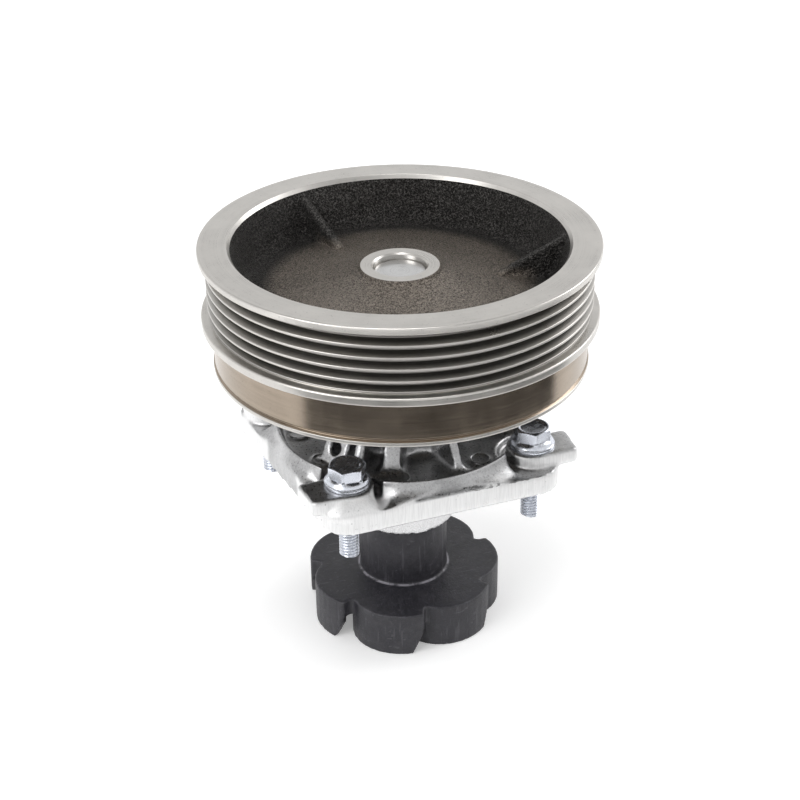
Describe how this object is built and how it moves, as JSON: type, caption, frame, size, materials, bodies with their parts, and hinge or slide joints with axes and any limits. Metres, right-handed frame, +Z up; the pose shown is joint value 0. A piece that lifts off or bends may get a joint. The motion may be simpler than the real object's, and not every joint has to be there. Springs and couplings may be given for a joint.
{
  "type": "water pump",
  "caption": "Engine coolant pump: cast belt pulley with a dished face on a ball and roller bearing shaft, ribbed aluminium flange housing, face seal and long plastic impeller.",
  "frame": {"origin": "on the shaft axis in the plane of the flange's mounting face", "axes": "+Z up the shaft towards the pulley, +Y towards the flange's wide rear edge, +X across the flange"},
  "size_m": [0.1182, 0.1182, 0.128],
  "materials": {
    "cast_pulley": "cast inside, turned outside",
    "steel_shaft": "ground",
    "bearing_steel": "polished",
    "cage_plastic": "moulded",
    "die_cast_aluminium": "die cast, sanded edges",
    "zinc_plate": "bright zinc",
    "black_plastic": "glass filled",
    "brass_bush": "turned",
    "brass_sheet": "pressed",
    "black_rubber": "moulded",
    "carbon": "lapped",
    "ceramic": "lapped"
  },
  "bodies": {
    "casing": {"housing": "die_cast_aluminium", "bearing_sleeve": "bearing_steel", "outer_bearing_seal": "black_rubber", "inner_bearing_seal": "black_rubber", "seal_cup": "brass_sheet", "seal_spring": "bearing_steel", "seal_bellows": "black_rubber", "seal_carbon_ring": "carbon", "flange_bolts": "zinc_plate", "flange_o_ring": "black_rubber"},
    "rotor": {"pulley": "cast_pulley", "shaft": "steel_shaft", "impeller": "black_plastic", "impeller_bush": "brass_bush", "seal_seat_ring": "ceramic", "seal_seat_gasket": "black_rubber", "slinger": "black_rubber"},
    "ball_train": {"bearing_balls": "bearing_steel", "ball_cage": "cage_plastic"},
    "roller_train": {"bearing_rollers": "bearing_steel", "roller_cage": "cage_plastic"}
  },
  "joints": [
    {"name": "shaft_spin", "type": "hinge", "parent": "casing", "child": "rotor", "pos_m": [0, 0, 0], "axis": [0, 0, 1], "continuous": true},
    {"name": "ball_train_spin", "type": "hinge", "parent": "casing", "child": "ball_train", "pos_m": [0, 0, 0.037], "axis": [0, 0, 1], "continuous": true},
    {"name": "roller_train_spin", "type": "hinge", "parent": "casing", "child": "roller_train", "pos_m": [0, 0, 0.0165], "axis": [0, 0, 1], "continuous": true}
  ],
  "couplings": [
    {"joint": "ball_train_spin", "follows": "shaft_spin", "ratio": 0.3642},
    {"joint": "roller_train_spin", "follows": "shaft_spin", "ratio": 0.3807}
  ]
}
